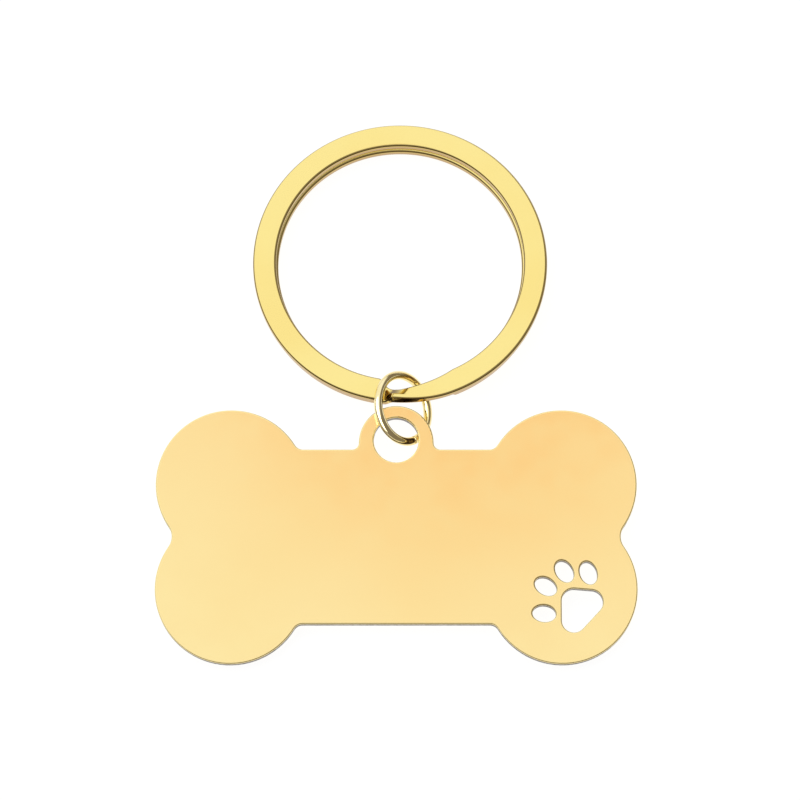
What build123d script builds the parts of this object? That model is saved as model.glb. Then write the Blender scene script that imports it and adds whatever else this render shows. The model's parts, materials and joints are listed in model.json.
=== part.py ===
from build123d import *
from math import asin, atan2, cos, degrees, hypot, pi, radians, sin
import os

os.makedirs("parts", exist_ok=True)

# Tag plate: a bone outline of four lobes and a shank, and a lug with a hole on the shank's top edge
tag_width = 50.0
tag_height = 26.6
tag_thickness = 1.4
lobe_overlap = 4.7
shank_height = 18.3
waist_radius = 1.8
shoulder_radius = 1.0
lug_rise = 0.7
lug_wall = 1.25
neck_radius = 0.7
hole_radius = 2.35
hole_rise = 0.3
edge_round = 0.15

# Paw print through the lower right lobe, in shares of its size, with its places from the lobe's middle
paw_size = 7.7
toe_length_share = 0.317
toe_width_share = 0.226
toe_shares = [(-0.242, -0.334), (-0.219, 0.034), (0.032, 0.238), (0.356, 0.216)]
toe_turns = [-6, -31, -59, -70]
pad_shares = [(-0.006, 0.019), (0.734, -0.043), (-0.006, -0.838)]
pad_round_share = 0.162

# Key ring: flat wire in two turns, its front end and the step between the turns beside the jump ring
ring_radius = 15.5
ring_shift = 0.4
band_width = 2.45
band_round = 0.25
coil_thickness = 1.05
coil_gap = 0.1
back_inset = 0.2
front_end_turn = -97.7
end_gap_turn = 1.3
step_turn = 26
step_lead_share = 0.5
step_width_share = 0.72
step_shares = [0, 0.125, 0.25, 0.375, 0.5, 0.625, 0.75, 0.875, 1]

# Jump ring: round wire bent to a circle, leaning over on its lowest point
wire_radius = 0.45
jump_lean = 43
butt_gap = 0.08
butt_turn = -66

# The link: clearances of lug to key ring, wire to band and wire to hole, and the jump ring's middle
# from the key ring's edge, the lug's middle and the band's middle
link_gap = 0.3
band_clearance = 0.13
hole_clearance = 0.22
jump_drop = 0.4
lug_lift = 0.09
band_dip = 0.17

# Sizes that follow
lobe_radius = (tag_height + lobe_overlap) / 4
lobe_spacing_x = tag_width - 2 * lobe_radius
lobe_spacing_y = tag_height - 2 * lobe_radius
toe_length = paw_size * toe_length_share
toe_width = paw_size * toe_width_share
pad_round = paw_size * pad_round_share
lug_offset = shank_height / 2 + lug_rise
hole_offset = lug_offset + hole_rise
lug_reach = hole_offset + hole_radius + lug_wall
lug_radius = lug_reach - lug_offset
lug_middle = (lug_reach + hole_offset + hole_radius) / 2
ring_thickness = 2 * coil_thickness + coil_gap
mid_radius = ring_radius - band_width / 2
front_height = ring_thickness - coil_thickness / 2
back_height = coil_thickness / 2
coil_turn = 360 - step_turn - end_gap_turn
step_start = front_end_turn - coil_turn
lean_sin = sin(radians(jump_lean))
lean_cos = cos(radians(jump_lean))
jump_radius = hypot(jump_drop + band_width, coil_thickness / 2 / lean_sin) + wire_radius + band_clearance
jump_shift = hole_radius - tag_thickness / 2 * lean_cos / lean_sin - wire_radius / lean_sin - hole_clearance
butt_share = butt_gap / (2 * pi * jump_radius)

# The jump ring's lowest point is on the table, and the lug and the key ring's near side lie up on it
jump_z = jump_radius * lean_sin + wire_radius
tag_sin = (jump_z + lug_lift - tag_thickness / 2) / (tag_height / 2 - edge_round + lug_middle)
tag_cos = cos(asin(tag_sin))
tag_z = (tag_height / 2 - edge_round) * tag_sin + edge_round * (1 - tag_cos)
ring_sin = (jump_z - band_dip - ring_thickness / 2) / (ring_radius - band_round + mid_radius)
ring_cos = cos(asin(ring_sin))
ring_z = (ring_radius - band_round) * ring_sin + band_round * (1 - ring_cos)

# Places along the link from the tag's middle, and the shift that centres the whole part
link_y = lug_reach * tag_cos - tag_thickness / 2 * tag_sin + link_gap
ring_y = link_y + ring_radius * ring_cos - ring_thickness / 2 * ring_sin
near_y = (tag_height / 2 - edge_round) * tag_cos + (tag_thickness - edge_round) * tag_sin + edge_round
far_y = ring_y + (ring_radius - band_round) * ring_cos + (ring_thickness - band_round) * ring_sin + band_round
tag_y = (near_y - far_y) / 2

tag_plane = Plane(origin=(0, tag_y, tag_z), x_dir=(1, 0, 0), z_dir=(0, -tag_sin, tag_cos))
ring_plane = Plane(origin=(ring_shift, tag_y + ring_y, ring_z), x_dir=(1, 0, 0), z_dir=(0, ring_sin, ring_cos))
jump_plane = Plane(
    origin=(jump_shift, tag_y + link_y - jump_drop, jump_z),
    x_dir=(lean_cos, 0, -lean_sin),
    z_dir=(lean_sin, 0, lean_cos),
)
wire_plane = Plane(jump_plane.location * Rotation(0, 0, butt_turn) * Rotation(90, 0, 0))
wire_axis = Axis(jump_plane.origin, jump_plane.z_dir)
coil_axis = Axis(ring_plane.origin, -ring_plane.z_dir)


def band_plane(turn, radius, height, roll):
    """Plane across the flat wire, at a turn round the key ring and a height over its back face."""
    return Plane(ring_plane.location * Rotation(0, 0, turn) * Pos(radius, 0, height) * Rotation(90, 0, roll))


def eased(share):
    """Smooth rise from 0 to 1."""
    held = min(max(share, 0), 1)
    return held * held * (3 - 2 * held)


# Tag plate
with BuildPart() as tag_plate:
    with BuildSketch(tag_plane) as blank:
        with GridLocations(lobe_spacing_x, lobe_spacing_y, 2, 2):
            Circle(lobe_radius)
        Rectangle(lobe_spacing_x, shank_height)
        with Locations((0, lug_offset)):
            Circle(lug_radius)
        corners = blank.vertices().sort_by(Axis.X)
        fillet([corners[0], corners[-1]], waist_radius)
        corners = blank.vertices().sort_by(Axis.X)
        fillet(corners[4:6], neck_radius)
        corners = blank.vertices().sort_by(Axis.X)
        fillet(corners[2:4] + corners[8:10], shoulder_radius)
        with Locations((0, hole_offset)):
            Circle(hole_radius, mode=Mode.SUBTRACT)
        with Locations((lobe_spacing_x / 2, -lobe_spacing_y / 2)):
            for (x_share, y_share), turn in zip(toe_shares, toe_turns):
                with Locations((paw_size * x_share, paw_size * y_share)):
                    Ellipse(toe_length / 2, toe_width / 2, rotation=turn, mode=Mode.SUBTRACT)
            with BuildSketch(mode=Mode.PRIVATE) as pad:
                Polygon(*[(paw_size * x_share, paw_size * y_share) for x_share, y_share in pad_shares], align=None)
                fillet(pad.vertices(), pad_round)
            add(pad.sketch, mode=Mode.SUBTRACT)
    extrude(amount=tag_thickness)
    fillet(tag_plate.faces().filter_by(tag_plane).edges(), edge_round)
tag_plate.part.label = "tag_plate"
export_step(tag_plate.part, "parts/tag_plate.step")

# Key ring: front turn, back turn and the step between them, which dips at its inner edge first
with BuildPart() as split_ring:
    with BuildSketch(band_plane(front_end_turn, mid_radius, front_height, 0)):
        RectangleRounded(band_width, coil_thickness, band_round)
    revolve(axis=coil_axis, revolution_arc=coil_turn)
    with BuildSketch(band_plane(step_start - step_turn, mid_radius - back_inset, back_height, 0)):
        RectangleRounded(band_width, coil_thickness, band_round)
    revolve(axis=coil_axis, revolution_arc=coil_turn)
    for share in step_shares:
        inner_drop = (front_height - back_height) * eased(share / (1 - step_lead_share))
        outer_drop = (front_height - back_height) * eased((share - step_lead_share) / (1 - step_lead_share))
        height = front_height - (inner_drop + outer_drop) / 2
        roll = degrees(atan2(inner_drop - outer_drop, band_width))
        width = band_width * (1 - (1 - step_width_share) * eased(1 - abs(2 * share - 1)))
        radius = ring_radius - width / 2 - back_inset * eased(share)
        with BuildSketch(band_plane(step_start - share * step_turn, radius, height, roll)):
            RectangleRounded(width, coil_thickness, band_round)
    loft()
split_ring.part.label = "split_ring"
export_step(split_ring.part, "parts/split_ring.step")

# Jump ring, open by a hair at its butt joint
with BuildPart() as jump_ring:
    with BuildSketch(wire_plane):
        with Locations((jump_radius, 0)):
            Circle(wire_radius)
    revolve(axis=wire_axis, revolution_arc=360 * (1 - butt_share))
jump_ring.part.label = "jump_ring"
export_step(jump_ring.part, "parts/jump_ring.step")
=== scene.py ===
import json
from math import asin, cos, pi, radians, sin, sqrt

import bpy
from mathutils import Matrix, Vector


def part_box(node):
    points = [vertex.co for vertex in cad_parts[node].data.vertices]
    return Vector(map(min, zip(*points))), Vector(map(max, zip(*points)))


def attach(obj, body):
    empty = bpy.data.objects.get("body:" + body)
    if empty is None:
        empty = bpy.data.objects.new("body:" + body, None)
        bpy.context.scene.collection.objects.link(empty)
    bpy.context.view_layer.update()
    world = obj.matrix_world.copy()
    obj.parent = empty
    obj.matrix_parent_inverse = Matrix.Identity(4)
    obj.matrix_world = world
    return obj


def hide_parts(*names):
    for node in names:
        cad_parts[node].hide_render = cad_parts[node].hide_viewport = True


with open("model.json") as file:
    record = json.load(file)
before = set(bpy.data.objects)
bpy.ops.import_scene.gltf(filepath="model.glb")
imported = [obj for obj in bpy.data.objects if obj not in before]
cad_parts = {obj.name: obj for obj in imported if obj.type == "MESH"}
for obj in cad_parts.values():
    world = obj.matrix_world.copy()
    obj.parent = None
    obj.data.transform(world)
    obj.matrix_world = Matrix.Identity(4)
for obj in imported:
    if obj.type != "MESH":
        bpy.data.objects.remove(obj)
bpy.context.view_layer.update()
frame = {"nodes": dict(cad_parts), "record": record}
scene = bpy.context.scene

# Tag: the way its face looks
TAG_AXIS = Vector((0, -0.0856, 0.9963))

# Key ring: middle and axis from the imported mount, its flat wire and the step between its turns, in metres
collar_loop = frame["record"]["mounts"][0]
RING_MIDDLE = Vector(collar_loop["pos_m"])
RING_AXIS = Vector(collar_loop["axis"]).normalized()
RING_ACROSS = Vector((1, 0, 0))
RING_ALONG = RING_AXIS.cross(RING_ACROSS)
RING_RADIUS = (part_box("split_ring")[1][0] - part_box("split_ring")[0][0]) / 2
BAND_WIDTH = 0.00245
BAND_ROUND = 0.00034
COIL_THICKNESS = 0.00105
COIL_RISE = 0.000575
BACK_INSET = 0.0002
FRONT_END_TURN = radians(-97.7)
END_GAP_TURN = radians(1.3)
STEP_TURN = radians(26)
STEP_INNER_SHARES = (0.0, 1.0)
STEP_OUTER_SHARES = (0.86, 1.0)
STEP_WIDTH_SHARE = 0.6
STEP_LEAD_SHARE = 0.2
STEP_NARROW_SHARES = (-STEP_LEAD_SHARE, 0.75)
STEP_WIDEN_SHARES = (0.9, 1.1)
END_CORNER = 0.0005
END_ROUND = 0.00018
COIL_STATIONS = 240
STEP_STATIONS = 80
END_STATIONS = 10
CORNER_STEPS = 8
CORNER_LIMIT_SHARE = 0.45

# Jump ring: round wire, its middle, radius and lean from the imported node's box
WIRE_RADIUS = 0.00045
JUMP_LOW, JUMP_HIGH = [Vector(corner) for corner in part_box("jump_ring")]
JUMP_MIDDLE = (JUMP_LOW + JUMP_HIGH) / 2
JUMP_RADIUS = (JUMP_HIGH.y - JUMP_LOW.y) / 2 - WIRE_RADIUS
JUMP_LEAN = asin(((JUMP_HIGH.z - JUMP_LOW.z) / 2 - WIRE_RADIUS) / JUMP_RADIUS)
JUMP_ACROSS = Vector((cos(JUMP_LEAN), 0, -sin(JUMP_LEAN)))
JUMP_ALONG = Vector((0, 1, 0))
JUMP_AXIS = Vector((sin(JUMP_LEAN), 0, cos(JUMP_LEAN)))
BUTT_TURN = radians(-66)
BUTT_GAP = 0.00008
BUTT_ROUND = 0.00008
WIRE_STATIONS = 200
WIRE_SIDES = 40

# Camera: a long lens, almost straight down, as in the photograph
CAMERA_TARGET = Vector((0.00039, -0.00099, 0.0015))
CAMERA_OFF_VERTICAL = radians(15.0)
CAMERA_DISTANCE = 0.46567
CAMERA_LENS = 200
SENSOR_WIDTH = 36

# Gold tones, as plain linear colours, and how squarely the surfaces that take each one face
TAG_PALE = (0.995, 0.83, 0.405, 1)
TAG_WARM = (0.99, 0.80, 0.37, 1)
# Painted shade on the tag's side walls: near-black under the face, and a paler painted shade on their
# lowest band
TAG_WALL_PAINTED_SHADE = (0.085, 0.062, 0.048, 1)
TAG_LOW_WALL_PAINTED_SHADE = (0.40, 0.30, 0.24, 1)
TAG_DARK_SHADE_BAND_SHARE = 0.8
TAG_CUT_FACING = (0.35, 0.12)
LOW_SHADE_BAND_RAGGED = 0.0002
LOW_SHADE_BAND_BLEND = 0.0001
RING_PALE = (0.98, 0.815, 0.31, 1)
RING_WARM = (0.97, 0.775, 0.27, 1)
# Painted light on the key ring: a dark reflection painted on its rounded edges, and brown shade painted on
# its side walls
RING_EDGE_PAINTED_DARK = (0.20, 0.13, 0.05, 1)
RING_WALL_PAINTED_SHADE = (0.52, 0.33, 0.13, 1)
RING_WALL_FACING = (0.45, 0.1)
RING_EDGE_FACING = (0.82, 0.66)
RING_EDGE_END_FACING = (0.3, 0.5)
WIRE_PALE = (0.98, 0.87, 0.52, 1)
WIRE_WARM = (0.95, 0.78, 0.36, 1)

# Polish: the range of roughness of each piece, and the depth of its marks
TAG_ROUGHNESS = (0.12, 0.16)
TAG_EDGE_ROUGHNESS = (0.12, 0.30)
RING_ROUGHNESS = (0.08, 0.13)
WIRE_ROUGHNESS = (0.06, 0.11)
MARK_DEPTH = 0.00001
WIRE_MARK_DEPTH = 0.000008

# Studio: a white floor, a tent of soft light that leans back and to the left, a warm card overhead
# and a soft box on the left for the round wire
FLOOR_SIZE = 6.0
FLOOR_GREY = (0.2, 0.2, 0.2, 1)
FLOOR_GLOW = 0.92
SKY_AXIS = Vector((-0.45, 0.5, 0.74)).normalized()
SKY_LIT = (1.0, 1.0, 1.0, 1)
SKY_DARK = (0.22, 0.19, 0.16, 1)
SKY_DARK_RISE = 0.40
SKY_LIT_RISE = 0.62
HORIZON_AXIS = Vector((0, 0.35, 0.94)).normalized()
HORIZON_DARK = 0.12
HORIZON_LIT = 0.42
CARD_TONE = (0.98, 0.61, 0.36, 1)
CARD_WAY = Vector((0.011, 0.123, 0.9924)).normalized()
CARD_REACH = cos(radians(5.0))
BOX_PLACE = Vector((-0.53, -0.65, 0.6))
BOX_WIDTH = 0.94
BOX_LENGTH = 1.9
BOX_RADIANCE = 3.0


class NodeTree:
    """Builds a node tree: add makes a node, sets its options and fills or links its inputs."""

    def __init__(self, owner):
        owner.use_nodes = True
        self.nodes = owner.node_tree.nodes
        self.links = owner.node_tree.links

    def add(self, kind, inputs=None, **options):
        node = self.nodes.new(kind)
        for option, value in options.items():
            setattr(node, option, value)
        self.fill(node, inputs or {})
        return node

    def fill(self, node, inputs):
        for name, value in inputs.items():
            if isinstance(value, bpy.types.NodeSocket):
                self.links.new(value, node.inputs[name])
            else:
                node.inputs[name].default_value = value

    def mix(self, share, first, second):
        mixed = self.add("ShaderNodeMix", data_type="RGBA", clamp_factor=True)
        sockets = (mixed.inputs[0], mixed.inputs[6], mixed.inputs[7])
        for socket, value in zip(sockets, (share, first, second)):
            if isinstance(value, bpy.types.NodeSocket):
                self.links.new(value, socket)
            else:
                socket.default_value = value
        return mixed.outputs[2]

    def math(self, operation, first, second=0.0):
        made = self.add("ShaderNodeMath", {0: first, 1: second}, operation=operation)
        return made.outputs[0]

    def dot(self, first, second):
        made = self.add("ShaderNodeVectorMath", {0: first, 1: second}, operation="DOT_PRODUCT")
        return made.outputs["Value"]

    def noise(self, vector, scale, detail=2.0, roughness=0.5):
        made = self.add("ShaderNodeTexNoise", {"Vector": vector, "Scale": scale, "Detail": detail,
                                               "Roughness": roughness})
        return made.outputs["Fac"]

    def span(self, value, low, high, to_low=0.0, to_high=1.0):
        made = self.add("ShaderNodeMapRange", {"Value": value, "From Min": low, "From Max": high,
                                               "To Min": to_low, "To Max": to_high},
                        interpolation_type="SMOOTHSTEP")
        return made.outputs["Result"]

    def stretched(self, vector, turn, scale):
        made = self.add("ShaderNodeMapping", {"Vector": vector, "Rotation": (0, 0, turn), "Scale": scale})
        return made.outputs["Vector"]


def facing(tree, coordinates, axis):
    """How squarely a surface faces along an axis of its own piece: 1 on the flats, 0 on the side walls."""
    return tree.math("ABSOLUTE", tree.dot(coordinates.outputs["Normal"], axis))


def hairlines(tree, vector, turn, scale, amount):
    """Fine polishing scratches that run one way: 1 in a scratch, 0 elsewhere."""
    streaks = tree.noise(tree.stretched(vector, turn, scale), 1.0, 3.0, 0.6)
    return tree.span(streaks, 0.70 - amount, 0.78)


def tag_gold(back_level, face_level):
    """Polished face, and the cut edge's walls painted with shade: a near-black band of painted shade under
    the face, then a paler painted shade on the lowest band.
    """
    material = bpy.data.materials.new("tag_gold_plate")
    tree = NodeTree(material)
    shader = tree.nodes["Principled BSDF"]
    coordinates = tree.add("ShaderNodeTexCoord")
    place = coordinates.outputs["Object"]
    flat = facing(tree, coordinates, TAG_AXIS)
    cut = tree.span(flat, *TAG_CUT_FACING)
    clouds = tree.span(tree.noise(place, 40, 2.0), 0.3, 0.7)
    gold = tree.mix(clouds, TAG_PALE, TAG_WARM)
    striae = tree.noise(tree.stretched(place, 0, (9000, 9000, 400)), 1.0, 2.0)
    # Painted shade on the walls: near-black in the band under the face, paler in the lowest band, split by
    # a ragged line
    ragged = tree.math("MULTIPLY", tree.noise(place, 3000, 2.0), LOW_SHADE_BAND_RAGGED)
    level = tree.math("ADD", tree.dot(place, TAG_AXIS), ragged)
    low_shade_band_level = face_level - TAG_DARK_SHADE_BAND_SHARE * (face_level - back_level)
    low_shade_band = tree.span(level, low_shade_band_level + LOW_SHADE_BAND_BLEND, low_shade_band_level)
    edge = tree.mix(low_shade_band, TAG_WALL_PAINTED_SHADE, TAG_LOW_WALL_PAINTED_SHADE)
    tree.fill(shader, {"Base Color": tree.mix(cut, gold, edge), "Metallic": 1.0})
    lines = hairlines(tree, place, radians(4), (500, 26000, 500), 0.04)
    strays = hairlines(tree, place, radians(37), (900, 34000, 900), 0.0)
    scratches = tree.math("MAXIMUM", lines, strays)
    haze = tree.span(tree.noise(place, 260, 4.0), 0.3, 0.7, *TAG_ROUGHNESS)
    wear_and_painted_shade = tree.math("ADD", haze, tree.math("MULTIPLY", scratches, 0.06))
    rough_cut = tree.math("MULTIPLY", cut, tree.span(striae, 0.3, 0.7, *TAG_EDGE_ROUGHNESS))
    tree.fill(shader, {"Roughness": tree.math("ADD", wear_and_painted_shade, rough_cut)})
    ridges = tree.math("MULTIPLY", striae, cut)
    height = tree.math("SUBTRACT", ridges, tree.math("MULTIPLY", scratches, 0.15))
    bump = tree.add("ShaderNodeBump", {"Strength": 0.25, "Distance": MARK_DEPTH, "Height": height})
    tree.fill(shader, {"Normal": bump.outputs["Normal"]})
    return material


def ring_gold():
    """Polished flats with drawn lines round the ring, a dark reflection painted on the rounded edges and
    brown shade painted on the walls.
    """
    material = bpy.data.materials.new("key_ring_gold_band")
    tree = NodeTree(material)
    shader = tree.nodes["Principled BSDF"]
    coordinates = tree.add("ShaderNodeTexCoord")
    place = coordinates.outputs["Object"]
    flat = facing(tree, coordinates, RING_AXIS)
    wall = tree.span(flat, *RING_WALL_FACING)
    edge_start = tree.span(flat, *RING_EDGE_FACING)
    edge = tree.math("MULTIPLY", edge_start, tree.span(flat, *RING_EDGE_END_FACING))
    clouds = tree.span(tree.noise(place, 70, 3.0), 0.35, 0.65)
    gold = tree.mix(clouds, RING_PALE, RING_WARM)
    # Painted dark reflection on the rounded edges and painted brown shade on the walls, over the gold
    wear_and_painted_shade = tree.mix(edge, tree.mix(wall, gold, RING_WALL_PAINTED_SHADE), RING_EDGE_PAINTED_DARK)
    tree.fill(shader, {"Base Color": wear_and_painted_shade, "Metallic": 1.0})
    spokes = tree.add("ShaderNodeVectorMath", {0: place, 1: RING_MIDDLE}, operation="SUBTRACT")
    reach = tree.add("ShaderNodeVectorMath", {0: spokes.outputs["Vector"]}, operation="LENGTH")
    circles = tree.add("ShaderNodeCombineXYZ", {"X": reach.outputs["Value"]})
    drawn = tree.noise(circles.outputs["Vector"], 9000, 3.0)
    haze = tree.span(tree.noise(place, 320, 4.0), 0.3, 0.7, *RING_ROUGHNESS)
    lines = tree.math("MULTIPLY", tree.span(drawn, 0.55, 0.75), 0.05)
    tree.fill(shader, {"Roughness": tree.math("ADD", haze, lines)})
    bump = tree.add("ShaderNodeBump", {"Strength": 0.1, "Distance": MARK_DEPTH, "Height": drawn})
    tree.fill(shader, {"Normal": bump.outputs["Normal"]})
    return material


def wire_gold():
    """Bright round wire with small marks from the pliers."""
    material = bpy.data.materials.new("jump_ring_gold_wire")
    tree = NodeTree(material)
    shader = tree.nodes["Principled BSDF"]
    place = tree.add("ShaderNodeTexCoord").outputs["Object"]
    clouds = tree.span(tree.noise(place, 240, 3.0), 0.35, 0.65)
    tree.fill(shader, {"Base Color": tree.mix(clouds, WIRE_PALE, WIRE_WARM), "Metallic": 1.0})
    haze = tree.span(tree.noise(place, 900, 4.0), 0.3, 0.7, *WIRE_ROUGHNESS)
    tree.fill(shader, {"Roughness": haze})
    marks = tree.noise(place, 2600, 3.0)
    bump = tree.add("ShaderNodeBump", {"Strength": 0.06, "Distance": WIRE_MARK_DEPTH, "Height": marks})
    tree.fill(shader, {"Normal": bump.outputs["Normal"]})
    return material


def ramp(share, low=0.0, high=1.0):
    """Straight rise from 0 at low to 1 at high."""
    return min(max((share - low) / (high - low), 0), 1)


def eased(share, low=0.0, high=1.0):
    """Smooth rise from 0 at low to 1 at high."""
    held = ramp(share, low, high)
    return held * held * (3 - 2 * held)


def round_inset(depth, radius):
    """How far a side draws in at a depth behind an end whose edge is rounded."""
    return radius - sqrt(radius ** 2 - max(radius - depth, 0) ** 2)


def make_swept(name, sections):
    """Closed mesh through sections of (point, way along the outline), with exact smooth normals."""
    sides = len(sections[0])
    points = [point for section in sections for point, _ in section]
    normals = []
    last = len(sections) - 1
    for i, section in enumerate(sections):
        before = sections[max(i - 1, 0)]
        after = sections[min(i + 1, last)]
        for j, (point, outline) in enumerate(section):
            normals.append(outline.cross(after[j][0] - before[j][0]).normalized())
    for i, beside in ((0, 1), (last, last - 1)):
        middle = sum((point for point, _ in sections[i]), Vector()) / sides
        inner = sum((point for point, _ in sections[beside]), Vector()) / sides
        normals[i * sides:(i + 1) * sides] = [(middle - inner).normalized()] * sides
    faces = [tuple(range(sides))[::-1], tuple(range(last * sides, (last + 1) * sides))]
    for i in range(last):
        for j in range(sides):
            k = (j + 1) % sides
            faces.append((i * sides + j, i * sides + k, (i + 1) * sides + k, (i + 1) * sides + j))
    mesh = bpy.data.meshes.new(name)
    mesh.from_pydata(points, [], faces)
    mesh.shade_smooth()
    mesh.normals_split_custom_set_from_vertices(normals)
    piece = bpy.data.objects.new(name, mesh)
    scene.collection.objects.link(piece)
    return piece


def band_outline(width, thickness, corner):
    """Rounded rectangle across the flat wire: each point's place and the way on, both out and up."""
    outline = []
    for quarter, (out, up) in enumerate(((1, 1), (-1, 1), (-1, -1), (1, -1))):
        for step in range(CORNER_STEPS + 1):
            turn = (quarter + step / CORNER_STEPS) * pi / 2
            across = out * (width / 2 - corner) + corner * cos(turn)
            rise = up * (thickness / 2 - corner) + corner * sin(turn)
            outline.append(((across, rise), (-sin(turn), cos(turn))))
    return outline


def band_section(turn, radius, height, roll=0.0, width=BAND_WIDTH, depth=END_CORNER):
    """Section of the flat wire at a turn round the key ring, drawn in near the wire's ends."""
    spoke = cos(turn) * RING_ACROSS + sin(turn) * RING_ALONG
    out = cos(roll) * spoke + sin(roll) * RING_AXIS
    up = cos(roll) * RING_AXIS - sin(roll) * spoke
    middle = RING_MIDDLE + radius * spoke + height * RING_AXIS
    drawn_width = width - 2 * round_inset(depth, END_CORNER)
    drawn_thickness = COIL_THICKNESS - 2 * round_inset(depth, END_ROUND)
    corner = min(BAND_ROUND, drawn_thickness * CORNER_LIMIT_SHARE, drawn_width * CORNER_LIMIT_SHARE)
    return [(middle + place[0] * out + place[1] * up, way[0] * out + way[1] * up)
            for place, way in band_outline(drawn_width, drawn_thickness, corner)]


def step_section(start, share):
    """Section at a share of the step: the wire narrows and its inner edge dips before its outer one."""
    inner_drop = 2 * COIL_RISE * eased(share, *STEP_INNER_SHARES)
    outer_drop = 2 * COIL_RISE * eased(share, *STEP_OUTER_SHARES)
    narrowed = ramp(share, *STEP_NARROW_SHARES) - eased(share, *STEP_WIDEN_SHARES)
    width = BAND_WIDTH * (1 - (1 - STEP_WIDTH_SHARE) * narrowed)
    roll = asin((inner_drop - outer_drop) / width)
    corner_reach = (width / 2 - BAND_ROUND) * cos(roll) + (COIL_THICKNESS / 2 - BAND_ROUND) * sin(roll)
    radius = RING_RADIUS - corner_reach - BAND_ROUND - BACK_INSET * eased(share)
    height = COIL_RISE - (inner_drop + outer_drop) / 2
    return band_section(start - share * STEP_TURN, radius, height, roll, width)


def make_key_ring():
    """Flat wire in two turns: the front turn, the step down and the back turn."""
    mid_radius = RING_RADIUS - BAND_WIDTH / 2
    coil_turn = 2 * pi - STEP_TURN - END_GAP_TURN
    step_start = FRONT_END_TURN - coil_turn
    back_end = step_start - STEP_TURN - coil_turn
    depths = [END_CORNER * (1 - cos(pi / 2 * i / END_STATIONS)) for i in range(END_STATIONS)]
    end_turns = [depth / mid_radius for depth in depths]
    end_turn = END_CORNER / mid_radius
    sections = [band_section(FRONT_END_TURN - turn, mid_radius, COIL_RISE, depth=depth)
                for depth, turn in zip(depths, end_turns)]
    front_turn = coil_turn - end_turn - STEP_LEAD_SHARE * STEP_TURN
    for i in range(COIL_STATIONS):
        turn = FRONT_END_TURN - end_turn - front_turn * i / COIL_STATIONS
        sections.append(band_section(turn, mid_radius, COIL_RISE))
    step_shares = STEP_LEAD_SHARE + STEP_WIDEN_SHARES[1]
    for i in range(STEP_STATIONS):
        sections.append(step_section(step_start, step_shares * i / STEP_STATIONS - STEP_LEAD_SHARE))
    back_start = step_start - STEP_WIDEN_SHARES[1] * STEP_TURN
    back_turn = back_start - back_end - end_turn
    for i in range(COIL_STATIONS + 1):
        turn = back_start - back_turn * i / COIL_STATIONS
        sections.append(band_section(turn, mid_radius - BACK_INSET, -COIL_RISE))
    for depth, turn in zip(depths[::-1], end_turns[::-1]):
        sections.append(band_section(back_end + turn, mid_radius - BACK_INSET, -COIL_RISE, depth=depth))
    piece = make_swept("key_ring_band", sections)
    piece.data.materials.append(ring_gold())
    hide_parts("split_ring")
    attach(piece, "key_ring")


def wire_section(turn, depth):
    """Round section of the jump ring's wire, drawn in near its two cut ends."""
    spoke = cos(turn) * JUMP_ACROSS + sin(turn) * JUMP_ALONG
    middle = JUMP_MIDDLE + JUMP_RADIUS * spoke
    radius = WIRE_RADIUS - round_inset(depth, BUTT_ROUND)
    section = []
    for i in range(WIRE_SIDES):
        around = 2 * pi * i / WIRE_SIDES
        point = middle + radius * (cos(around) * spoke + sin(around) * JUMP_AXIS)
        section.append((point, cos(around) * JUMP_AXIS - sin(around) * spoke))
    return section


def make_jump_ring():
    """Round wire bent to a circle, its two cut ends a hair apart."""
    first = BUTT_TURN
    last = BUTT_TURN + 2 * pi - BUTT_GAP / JUMP_RADIUS
    depths = [BUTT_ROUND * (1 - cos(pi / 2 * i / END_STATIONS)) for i in range(END_STATIONS + 1)]
    sections = [wire_section(last - depth / JUMP_RADIUS, depth) for depth in depths]
    start = last - BUTT_ROUND / JUMP_RADIUS
    end = first + BUTT_ROUND / JUMP_RADIUS
    for i in range(1, WIRE_STATIONS):
        sections.append(wire_section(start + (end - start) * i / WIRE_STATIONS, BUTT_ROUND))
    sections += [wire_section(first + depth / JUMP_RADIUS, depth) for depth in depths[::-1]]
    piece = make_swept("jump_ring_wire", sections)
    piece.data.materials.append(wire_gold())
    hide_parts("jump_ring")
    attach(piece, "jump_ring")
    return piece


def dress_tag():
    """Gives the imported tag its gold, with the levels of its two faces."""
    tag = frame["nodes"]["tag_plate"]
    levels = [TAG_AXIS.dot(corner.co) for corner in tag.data.vertices]
    tag.data.materials.clear()
    tag.data.materials.append(tag_gold(min(levels), max(levels)))


def seen_by_eye_or_metal(tree):
    """1 for rays from the camera, from metal and through glass, 0 for those that light the object."""
    path = tree.add("ShaderNodeLightPath")
    eye_or_metal = tree.math("MAXIMUM", path.outputs["Is Camera Ray"], path.outputs["Is Glossy Ray"])
    return tree.math("MAXIMUM", eye_or_metal, path.outputs["Is Transmission Ray"])


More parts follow.
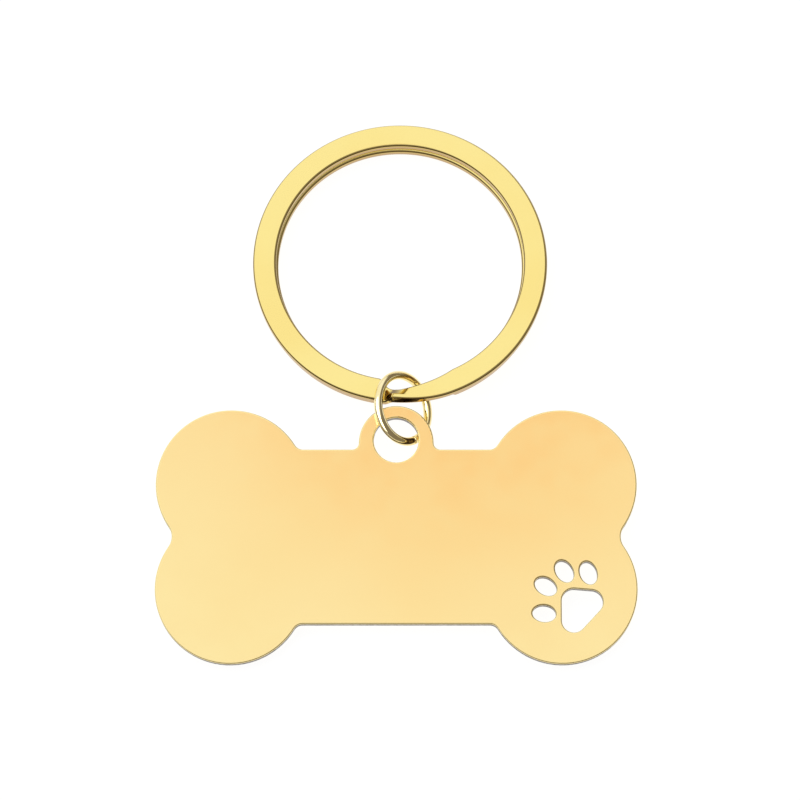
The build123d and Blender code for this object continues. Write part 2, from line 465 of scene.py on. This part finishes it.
def make_floor():
    """White floor that takes the shadow and shows its white to the camera and in the metal."""
    bpy.ops.mesh.primitive_plane_add(size=FLOOR_SIZE)
    floor = bpy.context.object
    floor.name = "floor"
    material = bpy.data.materials.new("white_floor")
    tree = NodeTree(material)
    shader = tree.nodes["Principled BSDF"]
    glow = tree.math("MULTIPLY", seen_by_eye_or_metal(tree), FLOOR_GLOW)
    tree.fill(shader, {"Base Color": FLOOR_GREY, "Roughness": 1.0, "Specular IOR Level": 0.0,
                       "Emission Color": (1, 1, 1, 1), "Emission Strength": glow})
    floor.data.materials.append(material)


def make_sky():
    """A soft white tent that leans to the back left over a dark room, with a warm card at its top."""
    world = bpy.data.worlds.new("studio")
    scene.world = world
    tree = NodeTree(world)
    way = tree.add("ShaderNodeTexCoord").outputs["Generated"]
    tent = tree.span(tree.dot(way, SKY_AXIS), SKY_DARK_RISE, SKY_LIT_RISE)
    above = tree.span(tree.dot(way, HORIZON_AXIS), HORIZON_DARK, HORIZON_LIT)
    card = tree.span(tree.dot(way, CARD_WAY), CARD_REACH, 1.0)
    lit = tree.mix(card, SKY_LIT, CARD_TONE)
    sky = tree.mix(tree.math("MULTIPLY", tent, above), SKY_DARK, lit)
    tree.fill(tree.nodes["Background"], {"Color": sky})


def make_soft_box(lit_piece):
    """Wide soft box on the left that lights one piece only: the white line along the round wire."""
    data = bpy.data.lights.new("soft_box", "AREA")
    data.shape = "RECTANGLE"
    data.size = BOX_WIDTH
    data.size_y = BOX_LENGTH
    data.energy = BOX_RADIANCE * pi * BOX_WIDTH * BOX_LENGTH
    lamp = bpy.data.objects.new("soft_box", data)
    scene.collection.objects.link(lamp)
    lamp.location = BOX_PLACE
    lamp.visible_camera = False
    lit = bpy.data.collections.new("lit_by_soft_box")
    lit.objects.link(lit_piece)
    lamp.light_linking.receiver_collection = lit


def make_camera():
    """Camera over the part, tilted towards the tag's lower edge."""
    camera = bpy.data.objects.new("camera", bpy.data.cameras.new("camera"))
    scene.collection.objects.link(camera)
    camera.data.lens = CAMERA_LENS
    camera.data.sensor_width = SENSOR_WIDTH
    toward_camera = Vector((0, -sin(CAMERA_OFF_VERTICAL), cos(CAMERA_OFF_VERTICAL)))
    camera.location = CAMERA_TARGET + CAMERA_DISTANCE * toward_camera
    camera.rotation_euler = toward_camera.to_track_quat("Z", "Y").to_euler()
    scene.camera = camera


dress_tag()
make_key_ring()
jump_ring = make_jump_ring()
make_floor()
make_sky()
make_soft_box(jump_ring)
make_camera()
scene.view_settings.view_transform = "Standard"
